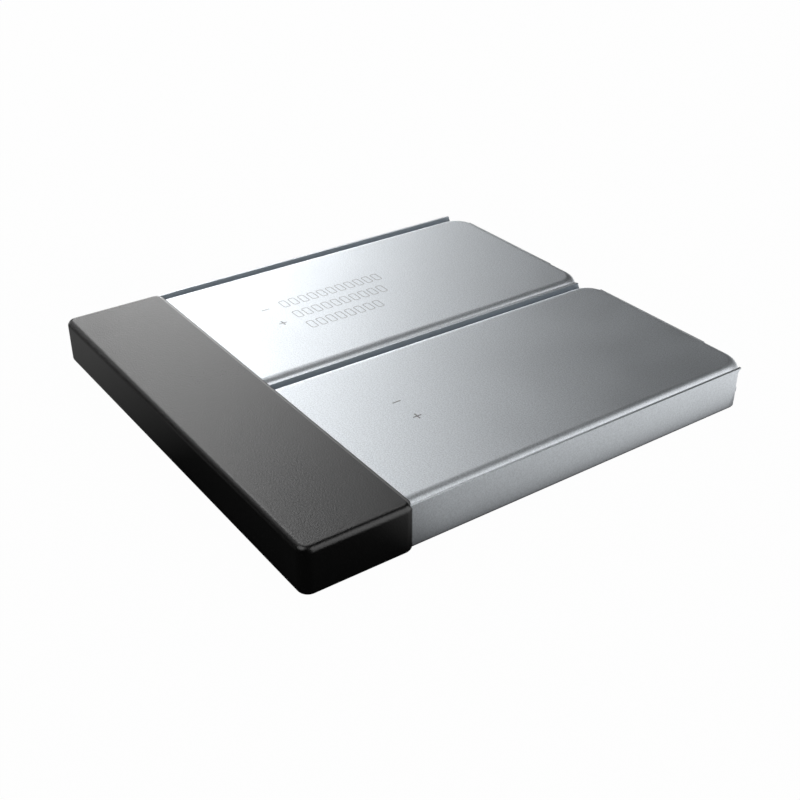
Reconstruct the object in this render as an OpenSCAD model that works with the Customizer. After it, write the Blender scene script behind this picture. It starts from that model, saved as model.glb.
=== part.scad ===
// Battery pack: two laminate pouch cells side by side under one push-on end cap.
// Millimetres. +X across the pack, +Y along the cells, +Z up. The origin is the middle of the underside.

/* [Pouch cell] */
// Width of one cell over its folded side flaps
cell_w = 43.85; // [36:0.05:55]
// Thickness of one cell
cell_t = 8.1; // [7:0.1:12]
// Length of one cell without its tab terrace
cell_l = 79.3; // [60:0.1:120]
// Space between the two cells, filled by the bond tape
cell_gap = 0.1; // [0.1:0.05:0.5]
// Width of the bond tape between the cells
bond_w = 4; // [2:0.5:6]
// How far the bond tape stops short of the cap and of the flap ends
bond_margin = 7; // [2:0.5:15]
// Thickness of the laminate film
film_t = 0.15; // [0.1:0.01:0.2]
// Thickness of a folded seam, two films sealed together
seam_t = 0.28; // [0.2:0.01:0.4]
// Air between a folded flap and the wall of the cup
cup_inset = 0.17; // [0.1:0.01:0.4]
// Fillet round the top of the cup
cup_fillet_r = 2.3; // [1:0.1:2.6]
// Corner radius of the cup at its free end
cup_corner_r = 5.4; // [3:0.1:7]
// Corner radius of the cup at its tab end
cup_front_r = 2.8; // [2.7:0.1:4]
// Outer radius of the bend at the foot of each flap
fold_r = 0.6; // [0.45:0.05:0.9]
// How far the side flaps stop below the top of the cell
flap_drop = 0.12; // [0.05:0.01:0.8]
// How far the side flaps stop short of the free end
flap_short = 3.9; // [0.8:0.1:8]
// Radius on the lower free corner of each side flap
flap_corner_r = 1.4; // [0.8:0.1:2.5]
// How far the end flap stops below the top of the cell
end_flap_drop = 1.3; // [0.1:0.1:4]
// How far the end flap stops short of each side of the cup
end_flap_inset = 2.9; // [1:0.1:8]

/* [Electrode roll] */
// Thickness of the separator wrap round the roll
wrap_t = 0.12; // [0.08:0.01:0.2]
// Thickness of the closing tape
tape_t = 0.12; // [0.05:0.01:0.2]
// Width of the closing tape
tape_w = 14; // [8:1:20]
// Air between the roll and the cup, above it and behind it
roll_gap = 0.25; // [0.15:0.05:0.4]
// Air between the roll and the cup at each side
roll_side_gap = 0.3; // [0.2:0.05:0.6]
// Space in front of the roll for the tabs
tab_room = 1.6; // [1.5:0.1:3]
// Air between a tab and the front wall of the cup
drop_gap = 0.5; // [0.3:0.05:0.6]
// Height of the winding slot left by the mandrel
mandrel_slot = 0.3; // [0.2:0.05:0.5]

/* [Tabs and terrace] */
// Length of the sealed terrace in front of the cup
terrace_l = 4.5; // [3.5:0.1:6]
// Width of a tab
tab_w = 5; // [3:0.5:7]
// Thickness of a tab
tab_t = 0.15; // [0.1:0.01:0.2]
// Distance between the two tabs of a cell
tab_pitch = 18; // [14:0.5:22]
// Bend radius at the middle of a tab
tab_bend_r = 0.35; // [0.25:0.05:0.4]
// Thickness of the sealing strip on each face of a tab
strip_t = 0.075; // [0.05:0.005:0.12]
// Width of the sealing strip past each edge of a tab
strip_margin = 1.2; // [0.8:0.1:2]
// How far the sealing strip stands out of the terrace
strip_out = 0.8; // [0.4:0.1:1.2]
// Gap from the sealing strip to the rise of the tab
rise_gap = 0.9; // [0.6:0.1:1.5]
// Gap from the rise of the tab to the board
rise_clear = 0.3; // [0.2:0.05:0.6]
// Length of tab that lies on its weld pad
weld_l = 2.6; // [1.8:0.1:3]

/* [End cap] */
// Length of the end cap
cap_l = 20.65; // [19:0.05:26]
// How far the lip of the cap covers the cells
lip_l = 3.15; // [1.5:0.05:4]
// Thickness of the lip above and below the cells
lip_t = 0.3; // [0.25:0.05:0.8]
// Thickness of the lip at the sides
lip_side_t = 0.52; // [0.4:0.02:1]
// Push-on clearance between the lip and the cells
lip_clear = 0.08; // [0.05:0.01:0.15]
// Wall of the cap at its front and sides
cap_wall = 1; // [0.8:0.1:1.5]
// Roof of the cap
roof_t = 0.9; // [0.8:0.1:1.5]
// Fillet round the top edges
edge_top_r = 1.1; // [0.6:0.1:1.5]
// Fillet round the bottom edges
edge_foot_r = 1; // [0.6:0.1:1.5]
// Upright corner radius at the front and at the rim
corner_r = 2; // [1.6:0.1:3]
// Clearance between the cap and what it covers
stack_clear = 0.15; // [0.1:0.05:0.3]

/* [Board and carrier] */
// Thickness of the paper over the terraces
insulator_t = 0.2; // [0.1:0.05:0.4]
// Floor of the board carrier
carrier_t = 0.6; // [0.5:0.1:1]
// Height of the ribs under the board
rib_h = 0.72; // [0.6:0.02:1]
// Thickness of the ribs
rib_t = 1; // [0.8:0.1:1.4]
// Thickness of the circuit board
board_t = 0.8; // [0.6:0.1:1]
// Gap round the board in its carrier
board_gap = 0.4; // [0.2:0.05:0.6]
// Diameter of the two locating pegs
peg_d = 1.5; // [1.2:0.1:1.8]
// Distance from a peg to the end of the board
peg_edge = 3; // [2.5:0.1:4]
// Clearance round a peg in its hole
peg_clear = 0.1; // [0.05:0.01:0.15]
// How far the pegs stand above the board
peg_rise = 0.5; // [0.3:0.1:0.8]
// Thickness of a weld pad
pad_t = 0.2; // [0.1:0.05:0.3]
// Height of a power transistor
mosfet_h = 0.95; // [0.7:0.05:1.2]

/* [Contacts] */
// Number of output contacts
contact_n = 4; // [2:1:5]
// Distance between contacts
contact_pitch = 3; // [2.6:0.1:4]
// Width of a contact blade
blade_w = 1.4; // [1:0.1:1.8]
// Thickness of a contact blade
blade_t = 0.15; // [0.1:0.01:0.2]
// Length of a contact blade
blade_l = 5; // [3.5:0.1:5.5]
// Rim left round a blade by its window
window_margin = 0.25; // [0.1:0.05:0.4]

/* [Hidden] */
$fn = 48;
cut = 1;

// Heights, from the underside of the cap upwards
seat_z = lip_t + lip_clear;
base_top = seat_z + film_t;
cell_top = seat_z + cell_t;
pack_h = cell_t + 2 * seat_z;
strip_h = tab_t + 2 * strip_t;
strip_mid = base_top + strip_h / 2;
hump_top = base_top + strip_h + film_t;
carrier_z = hump_top + insulator_t;
carrier_top = carrier_z + carrier_t;
board_z = carrier_top + rib_h;
board_top = board_z + board_t;
weld_z = board_top + pad_t + tab_t / 2;
floor_t = carrier_z - blade_t - stack_clear;
ceiling_z = pack_h - roof_t;

// Widths
cells_w = 2 * cell_w + cell_gap;
pack_w = cells_w + 2 * (lip_side_t + lip_clear);
cell_x = (cell_w + cell_gap) / 2;
cup_w = cell_w - 2 * (seam_t + cup_inset);
cavity_w = pack_w - 2 * cap_wall;
carrier_w = cavity_w - 2 * stack_clear;
board_w = carrier_w - 2 * (rib_t + board_gap);

// Lengths, from the front of the cap to the free end of the cells
pack_l = cell_l + cap_l - lip_l;
cap_front = -pack_l / 2;
rim_y = cap_front + cap_l;
cell_front = rim_y - lip_l;
cell_end = pack_l / 2;
cup_l = cell_l - seam_t - cup_inset;
flap_end = cell_end - flap_short;
end_flap_w = cup_w - 2 * end_flap_inset;
terrace_front = cell_front - terrace_l;
strip_front = terrace_front - strip_out;
rise_y = strip_front - rise_gap;
board_rear = rise_y - tab_t / 2 - rise_clear;
carrier_front = cap_front + cap_wall + stack_clear;
carrier_rear = cell_front - stack_clear;
board_front = carrier_front + rib_t + board_gap;
board_mid = (board_front + board_rear) / 2;
weld_y = board_rear - weld_l;

// Electrode roll inside the cup
cup_in_w = cup_w - 2 * film_t;
cup_in_r = cup_corner_r - film_t;
wrap_w = cup_in_w - 2 * roll_side_gap;
wrap_h = cell_t - 2 * film_t - roll_gap - tape_t;
corner_room = cup_in_r - sqrt(pow(cup_in_r, 2) - pow(cup_in_r - roll_side_gap, 2));
roll_front = cell_front + film_t + tab_room;
roll_l = cup_l - 2 * film_t - tab_room - corner_room - roll_gap;
drop_y = cell_front + film_t + drop_gap;
lead_z = base_top + wrap_h / 2 + mandrel_slot;
tape_x = (wrap_w - wrap_h - tape_w) / 2;
bend_steps = 4;

// Output contacts, in the middle of the board's front edge
block_w = (contact_n - 1) * contact_pitch + blade_w + 2 * rib_t;
block_l = blade_l + 2 * rib_t;
block_y = board_front + rib_t + block_l / 2;

// Sizes and places of small parts on the board
peg_x = board_w / 2 - peg_edge;
mosfet_w = 4.4;
mosfet_l = 3;
mosfet_x = 6.5;
mosfet_leads = 4;
driver_size = [2.9, 1.6, 1.1];
driver_x = 13.5;
driver_leads = 3;
lead_w = 0.4;
lead_h = 0.45;
lead_reach = 0.5;
lead_foot = 0.1;
fuse_size = [8, 3.2, 1.2];
fuse_lead = [1.6, 2.4, 0.2];
shunt_size = [6.4, 3.2, 0.7];
shunt_end = [1.2, 0.45];
resistor_size = [1.6, 0.8, 0.45];
resistor_n = 5;
capacitor_size = [1.6, 0.8, 0.8];
capacitor_n = 2;
chip_edge = 0.3;
chip_step = 2.6;
chip_x = driver_x + 2 * chip_step;
chip_y = board_front + resistor_size[1] / 2 + chip_edge;
power_y = board_rear - fuse_size[1] / 2 - chip_edge;
bead_d = 2;
bead_l = 4;
bead_lead_w = 0.3;
bead_lead_gap = 1.2;

// Extrudes a width-by-height outline along Y, from Y = 0
module along_y(l) {
    translate([0, l, 0]) rotate([90, 0, 0]) linear_extrude(l) children();
}

// Extrudes a length-by-height outline along X, centred
module along_x(w) {
    rotate([90, 0, 90]) linear_extrude(w, center = true) children();
}

// Cuts one corner of an outline to radius r; sx and sy point into the outline
module corner_cut(x, y, sx, sy, r) {
    if (r > 0) translate([x, y]) difference() {
        translate([min(sx, 0) * r - (sx > 0 ? cut : 0), min(sy, 0) * r - (sy > 0 ? cut : 0)])
            square([r + cut, r + cut]);
        translate([sx * r, sy * r]) circle(r);
    }
}

// Rectangle with its own radius at each corner: lower left, lower right, upper right, upper left
module round_rect(x0, x1, y0, y1, radii) {
    difference() {
        translate([x0, y0]) square([x1 - x0, y1 - y0]);
        corner_cut(x0, y0, 1, 1, radii[0]);
        corner_cut(x1, y0, -1, 1, radii[1]);
        corner_cut(x1, y1, -1, -1, radii[2]);
        corner_cut(x0, y1, 1, -1, radii[3]);
    }
}

// Round upright corner post with filleted ends
module corner_post(h, r, top_r, bottom_r) {
    rotate_extrude() round_rect(0, r, 0, h, [0, bottom_r, top_r, 0]);
}

// Box with round upright corners and filleted top and bottom edges, from Y = 0 and Z = 0
module soft_box(w, l, h, front_r, end_r, top_r, bottom_r) {
    translate([0, front_r, 0]) along_y(l - front_r - end_r)
        round_rect(-w / 2, w / 2, 0, h, [bottom_r, bottom_r, top_r, top_r]);
    along_x(w - 2 * front_r) round_rect(0, l / 2, 0, h, [bottom_r, 0, 0, top_r]);
    along_x(w - 2 * end_r) round_rect(l / 2, l, 0, h, [0, bottom_r, top_r, 0]);
    for (side = [-1, 1]) {
        translate([side * (w / 2 - front_r), front_r, 0]) corner_post(h, front_r, top_r, bottom_r);
        translate([side * (w / 2 - end_r), l - end_r, 0]) corner_post(h, end_r, top_r, bottom_r);
    }
}

// Box given by its middle in X and Y, its foot and its size
module block(x, y, z, size) {
    translate([x - size[0] / 2, y - size[1] / 2, z]) cube(size);
}

// Points of one rounded bend of a strip path, from the corner b between a and c
function bend_points(a, b, c, r) =
    let (u = (a - b) / norm(a - b), v = (c - b) / norm(c - b), mid = b + r * (u + v))
    [for (k = [0 : bend_steps]) let (t = 90 * k / bend_steps) mid - r * (v * cos(t) + u * sin(t))];

// Strip path with its inner corners rounded
function soft_path(p, r) = [
    p[0],
    for (i = [1 : len(p) - 2]) each bend_points(p[i - 1], p[i], p[i + 1], r),
    p[len(p) - 1]
];

// Left-hand normal of a path at point i
function path_normal(p, i) =
    let (d = p[min(i + 1, len(p) - 1)] - p[max(i - 1, 0)])
    [-d[1], d[0]] / norm(d);

// Flat strip of width w and thickness t along a path of length and height
module bent_strip(path, w, t, r) {
    p = soft_path(path, r);
    n = len(p);
    side_a = [for (i = [0 : n - 1]) p[i] + path_normal(p, i) * t / 2];
    side_b = [for (i = [n - 1 : -1 : 0]) p[i] - path_normal(p, i) * t / 2];
    along_x(w) polygon(concat(side_a, side_b));
}

// Room of one tab's sealing strip, from the inside of the cup to y
module strip_room(y) {
    length = cell_front + film_t - y;
    block(0, y + length / 2, base_top, [tab_w + 2 * strip_margin, length, strip_h]);
}

// Place of a tab within its cell: -1 is the negative tab, 1 the positive tab
module at_tab(sign) {
    translate([sign * tab_pitch / 2, 0, 0]) children();
}

// Deep-drawn film cup of one cell, with the flange that covers the terrace
module cup() {
    flange_w = cup_w - 2 * cup_front_r;
    hump_w = tab_w + 2 * (strip_margin + film_t);
    translate([0, cell_front, base_top]) difference() {
        soft_box(cup_w, cup_l, cell_top - base_top, cup_front_r, cup_corner_r, cup_fillet_r, 0);
        translate([0, film_t, -cut]) soft_box(cup_w - 2 * film_t, cup_l - 2 * film_t,
            cell_top - base_top - film_t + cut, cup_front_r - film_t, cup_corner_r - film_t,
            cup_fillet_r - film_t, 0);
        for (sign = [-1, 1]) at_tab(sign)
            block(0, film_t / 2, -cut, [tab_w + 2 * strip_margin, 2 * film_t, strip_h + cut]);
    }
    difference() {
        union() {
            block(0, cell_front - terrace_l / 2, base_top, [flange_w, terrace_l, film_t]);
            for (sign = [-1, 1]) at_tab(sign)
                block(0, cell_front - terrace_l / 2, base_top, [hump_w, terrace_l, hump_top - base_top]);
        }
        for (sign = [-1, 1]) at_tab(sign) strip_room(terrace_front - cut);
    }
}

// Flat base film of one cell, with its side flaps and end flap folded up
module base() {
    flap_top = cell_top - flap_drop;
    floor_l = cell_end - fold_r - terrace_front;
    // side flaps, one channel with round bends and round lower free corners
    intersection() {
        translate([0, cell_front, 0]) along_y(flap_end - cell_front) difference() {
            round_rect(-cell_w / 2, cell_w / 2, seat_z, flap_top, [fold_r, fold_r, 0, 0]);
            translate([seam_t - cell_w / 2, base_top]) square([cell_w - 2 * seam_t, cell_t]);
        }
        along_x(cell_w + cut)
            round_rect(cell_front - cut, flap_end, seat_z, cell_top, [0, flap_corner_r, 0, 0]);
    }
    // floor, out to the front of the terrace
    translate([0, 0, seat_z]) linear_extrude(film_t) union() {
        round_rect(-cup_w / 2, cup_w / 2, cell_front, cell_end - fold_r, [0, 0, cup_corner_r, cup_corner_r]);
        translate([cup_front_r - cup_w / 2, terrace_front])
            square([cup_w - 2 * cup_front_r, cell_front - terrace_front + cut]);
    }
    // end flap
    along_x(end_flap_w) difference() {
        round_rect(cell_end - cup_corner_r, cell_end, seat_z, cell_top - end_flap_drop, [0, fold_r, 0, 0]);
        translate([cell_end - cup_corner_r - cut, base_top])
            square([cup_corner_r - seam_t + cut, cell_t]);
    }
}

// Outline of the wound roll: flat faces and round ends
module roll_outline(w, h) {
    square([w - h, h], center = true);
    for (side = [-1, 1]) translate([side * (w - h) / 2, 0]) circle(h / 2);
}

// Places a roll outline inside the cup and extrudes it
module roll_run() {
    translate([0, roll_front, base_top + wrap_h / 2]) along_y(roll_l) children();
}

module roll() {
    roll_run() difference() {
        roll_outline(wrap_w - 2 * wrap_t, wrap_h - 2 * wrap_t);
        square([wrap_w - wrap_h, mandrel_slot], center = true);
    }
}

module separator() {
    roll_run() difference() {
        roll_outline(wrap_w, wrap_h);
        roll_outline(wrap_w - 2 * wrap_t, wrap_h - 2 * wrap_t);
    }
}

module roll_tape() {
    block(tape_x, roll_front + roll_l / 2, base_top + wrap_h, [tape_w, roll_l - 2 * tape_t, tape_t]);
}

// Tab from the roll down to the terrace, out of the pouch, up past the board and onto its weld pad
module tab() {
    bent_strip([
        [roll_front, lead_z], [drop_y, lead_z], [drop_y, strip_mid],
        [rise_y, strip_mid], [rise_y, weld_z], [weld_y, weld_z]
    ], tab_w, tab_t, tab_bend_r);
}

module tab_seal() {
    difference() {
        strip_room(strip_front);
        block(0, cell_front, strip_mid - tab_t / 2, [tab_w, 2 * (cell_front - strip_front + cut), tab_t]);
    }
}

module left() {
    translate([-cell_x, 0, 0]) children();
}

module right() {
    translate([cell_x, 0, 0]) children();
}

module left_cell_cup() { color([0.8, 0.81, 0.82]) left() cup(); }
module left_cell_base() { color([0.72, 0.74, 0.76]) left() base(); }
module left_cell_roll() { color([0.2, 0.2, 0.21]) left() roll(); }
module left_cell_separator() { color([0.93, 0.93, 0.9]) left() separator(); }
module left_roll_tape() { color([0.25, 0.5, 0.35]) left() roll_tape(); }
module left_positive_tab() { color([0.84, 0.84, 0.85]) left() at_tab(1) tab(); }
module left_negative_tab() { color([0.7, 0.68, 0.63]) left() at_tab(-1) tab(); }
module left_positive_tab_seal() { color([0.9, 0.88, 0.8]) left() at_tab(1) tab_seal(); }
module left_negative_tab_seal() { color([0.9, 0.88, 0.8]) left() at_tab(-1) tab_seal(); }
module right_cell_cup() { color([0.8, 0.81, 0.82]) right() cup(); }
module right_cell_base() { color([0.72, 0.74, 0.76]) right() base(); }
module right_cell_roll() { color([0.2, 0.2, 0.21]) right() roll(); }
module right_cell_separator() { color([0.93, 0.93, 0.9]) right() separator(); }
module right_roll_tape() { color([0.25, 0.5, 0.35]) right() roll_tape(); }
module right_positive_tab() { color([0.84, 0.84, 0.85]) right() at_tab(1) tab(); }
module right_negative_tab() { color([0.7, 0.68, 0.63]) right() at_tab(-1) tab(); }
module right_positive_tab_seal() { color([0.9, 0.88, 0.8]) right() at_tab(1) tab_seal(); }
module right_negative_tab_seal() { color([0.9, 0.88, 0.8]) right() at_tab(-1) tab_seal(); }

// Double-sided tape between the two inner flaps
module cell_bond_tape() {
    color([0.88, 0.85, 0.72]) block(0, (rim_y + flap_end) / 2, seat_z + (cell_t - bond_w) / 2,
        [cell_gap, flap_end - rim_y - 2 * bond_margin, bond_w]);
}

// Every tab of the pack, for what follows the tabs
module at_every_tab() {
    for (side = [-1, 1], sign = [-1, 1]) translate([side * cell_x + sign * tab_pitch / 2, 0, 0]) children();
}

// Every contact in its row
module at_every_contact() {
    for (i = [0 : contact_n - 1])
        translate([(i - (contact_n - 1) / 2) * contact_pitch, block_y, 0]) children();
}

// One-piece moulded sleeve: lip over the cells, cavity for the board, windows under the contacts
module end_cap() {
    pocket_w = cells_w + 2 * lip_clear;
    pocket_r = 2 * lip_clear + flap_drop;
    color([0.08, 0.08, 0.085]) difference() {
        translate([0, cap_front, 0])
            soft_box(pack_w, cap_l, pack_h, corner_r, corner_r, edge_top_r, edge_foot_r);
        // pocket of the lip, its corners rounded clear of the flaps
        translate([0, cell_front - lip_clear, 0]) along_y(lip_l + lip_clear + cut)
            round_rect(-pocket_w / 2, pocket_w / 2, lip_t, pack_h - lip_t,
                [pocket_r, pocket_r, pocket_r, pocket_r]);
        // floor relief under the terraces and the tabs
        block(0, (board_rear + rim_y) / 2, lip_t, [cavity_w, rim_y - board_rear, floor_t]);
        // cavity for the board
        block(0, (cap_front + cap_wall + rim_y) / 2, floor_t,
            [cavity_w, cap_l - cap_wall, ceiling_z - floor_t]);
        at_every_contact() block(0, 0, -cut,
            [blade_w + 2 * window_margin, blade_l + 2 * window_margin, floor_t + 2 * cut]);
    }
}

// Paper strip that keeps the carrier off the terraces
module tab_insulator() {
    strip_l = terrace_l - stack_clear;
    color([0.82, 0.75, 0.6])
        block(0, cell_front - stack_clear - strip_l / 2, hump_top, [carrier_w, strip_l, insulator_t]);
}

// Moulded tray: floor with slots for the tabs, ribs and pegs for the board, opening for the contact block
module board_carrier() {
    carrier_l = carrier_rear - carrier_front;
    rib_y = weld_y - rib_t / 2;
    color([0.16, 0.16, 0.17]) difference() {
        union() {
            block(0, carrier_front + carrier_l / 2, carrier_z, [carrier_w, carrier_l, carrier_t]);
            // upright rim in front of and beside the board
            block(0, carrier_front + rib_t / 2, carrier_z, [carrier_w, rib_t, board_top - carrier_z]);
            for (side = [-1, 1]) block(side * (carrier_w - rib_t) / 2, (carrier_front + board_rear) / 2,
                carrier_z, [rib_t, board_rear - carrier_front, board_top - carrier_z]);
            // ribs under the front and rear of the board
            for (y = [board_front + rib_t / 2, rib_y])
                block(0, y, carrier_z, [board_w, rib_t, board_z - carrier_z]);
            for (side = [-1, 1]) translate([side * peg_x, board_mid, carrier_z]) {
                cylinder(h = board_z - carrier_z, d = 2 * peg_d);
                cylinder(h = board_top + peg_rise - carrier_z, d = peg_d);
            }
        }
        at_every_tab() block(0, rise_y, carrier_z - cut,
            [tab_w + 2 * rise_clear, tab_t + 2 * rise_clear, carrier_t + 2 * cut]);
        block(0, block_y, carrier_z - cut,
            [block_w + 2 * stack_clear, block_l + 2 * stack_clear, board_z - carrier_z + 2 * cut]);
    }
}

module protection_board() {
    board_l = board_rear - board_front;
    color([0.1, 0.35, 0.2]) difference() {
        block(0, board_mid, board_z, [board_w, board_l, board_t]);
        for (side = [-1, 1]) translate([side * peg_x, board_mid, board_z - cut])
            cylinder(h = board_t + 2 * cut, d = peg_d + 2 * peg_clear);
    }
}

module weld_pads() {
    color([0.75, 0.73, 0.68]) at_every_tab()
        block(0, board_rear - weld_l / 2, board_top, [tab_w, weld_l, pad_t]);
}

// Gull-wing package: body on feet, with a row of leads on its two long sides
module leaded_chip(w, l, h, leads) {
    block(0, 0, lead_foot, [w, l, h - lead_foot]);
    for (side = [-1, 1], i = [0 : leads - 1])
        block((i - (leads - 1) / 2) * w / leads, side * (l + lead_reach) / 2, 0,
            [lead_w, lead_reach + lead_foot, lead_h]);
}

module power_mosfets() {
    color([0.12, 0.12, 0.13]) for (side = [-1, 1])
        translate([side * mosfet_x, board_mid, board_top])
            leaded_chip(mosfet_w, mosfet_l, mosfet_h, mosfet_leads);
}

module protection_chips() {
    driver_y = board_front + driver_size[1] / 2 + lead_reach + chip_edge;
    color([0.14, 0.14, 0.15]) for (side = [-1, 1]) translate([side * driver_x, driver_y, board_top])
        leaded_chip(driver_size[0], driver_size[1], driver_size[2], driver_leads);
}

// Metal-strip shunt on the right half of the board, with low solder ends
module current_shunt() {
    color([0.55, 0.5, 0.45]) translate([cell_x, power_y, board_top]) {
        block(0, 0, 0, [shunt_size[0], shunt_size[1], shunt_end[1]]);
        block(0, 0, 0, [shunt_size[0] - 2 * shunt_end[0], shunt_size[1], shunt_size[2]]);
    }
}

// Row of chip parts on both halves of the board, from place first
module chip_row(first, n, size) {
    for (side = [-1, 1], i = [first : first + n - 1])
        block(side * (chip_x + i * chip_step), chip_y, board_top, size);
}

module chip_resistors() {
    color([0.1, 0.1, 0.11]) chip_row(0, resistor_n, resistor_size);
}

module chip_capacitors() {
    color([0.7, 0.58, 0.42]) chip_row(resistor_n, capacitor_n, capacitor_size);
}

// Bead thermistor on the carrier between the cells, with two leads to the board
module thermistor() {
    bead_y = (rise_y + cell_front) / 2;
    bead_z = carrier_top + bead_d / 2;
    solder_z = board_top + tab_t / 2;
    color([0.3, 0.12, 0.1]) {
        translate([0, bead_y, bead_z]) rotate([0, 90, 0]) cylinder(h = bead_l, d = bead_d, center = true);
        for (side = [-1, 1]) translate([side * bead_lead_gap / 2, 0, 0]) bent_strip([
            [bead_y, bead_z], [rise_y, bead_z], [rise_y, solder_z], [board_rear - weld_l / 2, solder_z]
        ], bead_lead_w, tab_t, tab_t);
    }
}

// Flat thermal fuse on the left half of the board, with a lead strip at each end
module thermal_fuse() {
    color([0.6, 0.6, 0.58]) translate([-cell_x, power_y, board_top]) {
        block(0, 0, 0, fuse_size);
        for (side = [-1, 1]) block(side * (fuse_size[0] + fuse_lead[0]) / 2, 0, 0, fuse_lead);
    }
}

// Moulded block that holds the contacts under the board
module contact_block() {
    color([0.2, 0.2, 0.21]) difference() {
        block(0, block_y, carrier_z, [block_w, block_l, board_z - carrier_z]);
        at_every_contact() block(0, (blade_l - blade_t) / 2, carrier_z - cut,
            [blade_w, blade_t, board_z - carrier_z + 2 * cut]);
    }
}

// Gold-plated angles: a flat face under the block and a leg up to the board
module contact_blades() {
    color([0.85, 0.68, 0.3]) at_every_contact() {
        block(0, 0, carrier_z - blade_t, [blade_w, blade_l, blade_t]);
        block(0, (blade_l - blade_t) / 2, carrier_z - blade_t,
            [blade_w, blade_t, board_z - carrier_z + blade_t]);
    }
}

// Foam block on the transistors, under the roof of the cap
module board_pad() {
    pad_z = board_top + mosfet_h;
    color([0.25, 0.25, 0.26]) block(0, board_mid, pad_z,
        [2 * mosfet_x + mosfet_w, mosfet_l, ceiling_z - stack_clear - pad_z]);
}

left_cell_cup();
left_cell_base();
left_cell_roll();
left_cell_separator();
left_roll_tape();
left_positive_tab();
left_negative_tab();
left_positive_tab_seal();
left_negative_tab_seal();
right_cell_cup();
right_cell_base();
right_cell_roll();
right_cell_separator();
right_roll_tape();
right_positive_tab();
right_negative_tab();
right_positive_tab_seal();
right_negative_tab_seal();
cell_bond_tape();
end_cap();
tab_insulator();
board_carrier();
protection_board();
weld_pads();
power_mosfets();
protection_chips();
current_shunt();
chip_resistors();
chip_capacitors();
thermistor();
thermal_fuse();
contact_block();
contact_blades();
board_pad();
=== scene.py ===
import math

import bmesh
import bpy
from mathutils import Matrix, Vector


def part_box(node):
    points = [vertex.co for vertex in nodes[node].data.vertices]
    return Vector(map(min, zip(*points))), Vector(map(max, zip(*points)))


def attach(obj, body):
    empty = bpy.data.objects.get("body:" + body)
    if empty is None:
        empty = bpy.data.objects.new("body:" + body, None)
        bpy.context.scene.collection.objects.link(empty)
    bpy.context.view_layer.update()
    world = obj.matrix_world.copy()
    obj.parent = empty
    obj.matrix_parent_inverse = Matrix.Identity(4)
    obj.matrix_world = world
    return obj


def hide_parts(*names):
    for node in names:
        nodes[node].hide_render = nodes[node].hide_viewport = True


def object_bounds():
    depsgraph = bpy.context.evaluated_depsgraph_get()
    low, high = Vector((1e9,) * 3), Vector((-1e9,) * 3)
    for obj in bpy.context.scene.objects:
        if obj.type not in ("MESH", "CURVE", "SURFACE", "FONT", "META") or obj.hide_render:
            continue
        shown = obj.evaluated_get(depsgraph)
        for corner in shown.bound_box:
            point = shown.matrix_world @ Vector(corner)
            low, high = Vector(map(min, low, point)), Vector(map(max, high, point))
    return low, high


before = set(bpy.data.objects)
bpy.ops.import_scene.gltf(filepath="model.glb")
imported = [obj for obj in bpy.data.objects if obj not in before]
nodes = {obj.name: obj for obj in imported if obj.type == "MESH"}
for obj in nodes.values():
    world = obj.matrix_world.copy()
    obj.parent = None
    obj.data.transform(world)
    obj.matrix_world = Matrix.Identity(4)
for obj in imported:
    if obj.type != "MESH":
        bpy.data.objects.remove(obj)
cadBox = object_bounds()
scene = bpy.context.scene
scene.view_settings.view_transform = "Standard"
mm = 0.001
quarter = math.pi / 2
joinDistance = 1e-7  # points nearer than this become one
cellSides = ("left", "right")
tabSigns = ("_positive_tab", "_negative_tab")
print("frame loaded:", len(nodes), "nodes")


def direction(azimuth, elevation):
    a, e = math.radians(azimuth), math.radians(elevation)
    return Vector((math.cos(a) * math.cos(e), math.sin(a) * math.cos(e), math.sin(e)))


# Camera, at the angle of the photograph
cameraView = {
    "azimuth": 54.872,  # degrees, 0 looks along +Y
    "elevation": 30.855,
    "distance": 202.457 * mm,
    "right": 39.553 * mm,  # sideways from the foot of the cap's front
    "up": 10.489 * mm,
    "lens": 53.152,
    "sensor": 36,
    "clip": (0.01, 20),
}


def makeCamera(look):
    back = direction(look["azimuth"] - 90, look["elevation"])
    right = direction(look["azimuth"], 0)
    up = back.cross(right)
    foot = Vector((0, cadBox[0].y, cadBox[0].z))
    place = foot + back * look["distance"] + right * look["right"] + up * look["up"]
    data = bpy.data.cameras.new("photoCamera")
    data.sensor_width = look["sensor"]
    data.lens = look["lens"]
    data.clip_start, data.clip_end = look["clip"]
    camera = bpy.data.objects.new("photoCamera", data)
    camera.matrix_world = Matrix.Translation(place) @ Matrix((right, up, back)).transposed().to_4x4()
    scene.collection.objects.link(camera)
    scene.camera = camera


makeCamera(cameraView)
print("camera set")


# Node helpers
def feed(tree, socket, value):
    if isinstance(value, bpy.types.NodeSocket):
        tree.links.new(value, socket)
    else:
        socket.default_value = (*value, 1) if socket.type == "RGBA" else value


def addNode(tree, kind, values=None, **settings):
    node = tree.nodes.new(kind)
    for name, value in settings.items():
        setattr(node, name, value)
    for socket, value in (values or {}).items():
        feed(tree, node.inputs[socket], value)
    return node


def math2(tree, operation, a, b, clamp=False):
    return addNode(tree, "ShaderNodeMath", {0: a, 1: b}, operation=operation, use_clamp=clamp).outputs[0]


def times(tree, a, b):
    return math2(tree, "MULTIPLY", a, b)


def larger(tree, a, b):
    return math2(tree, "MAXIMUM", a, b)


def mixColour(tree, factor, a, b):
    values = {"Factor": factor, 6: a, 7: b}  # inputs 6 and 7 take colours
    return addNode(tree, "ShaderNodeMix", values, data_type="RGBA").outputs[2]


def mapRange(tree, value, fromLow, fromHigh, toLow=0.0, toHigh=1.0):
    values = {"Value": value, "From Min": fromLow, "From Max": fromHigh, "To Min": toLow, "To Max": toHigh}
    return addNode(tree, "ShaderNodeMapRange", values).outputs[0]


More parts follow.
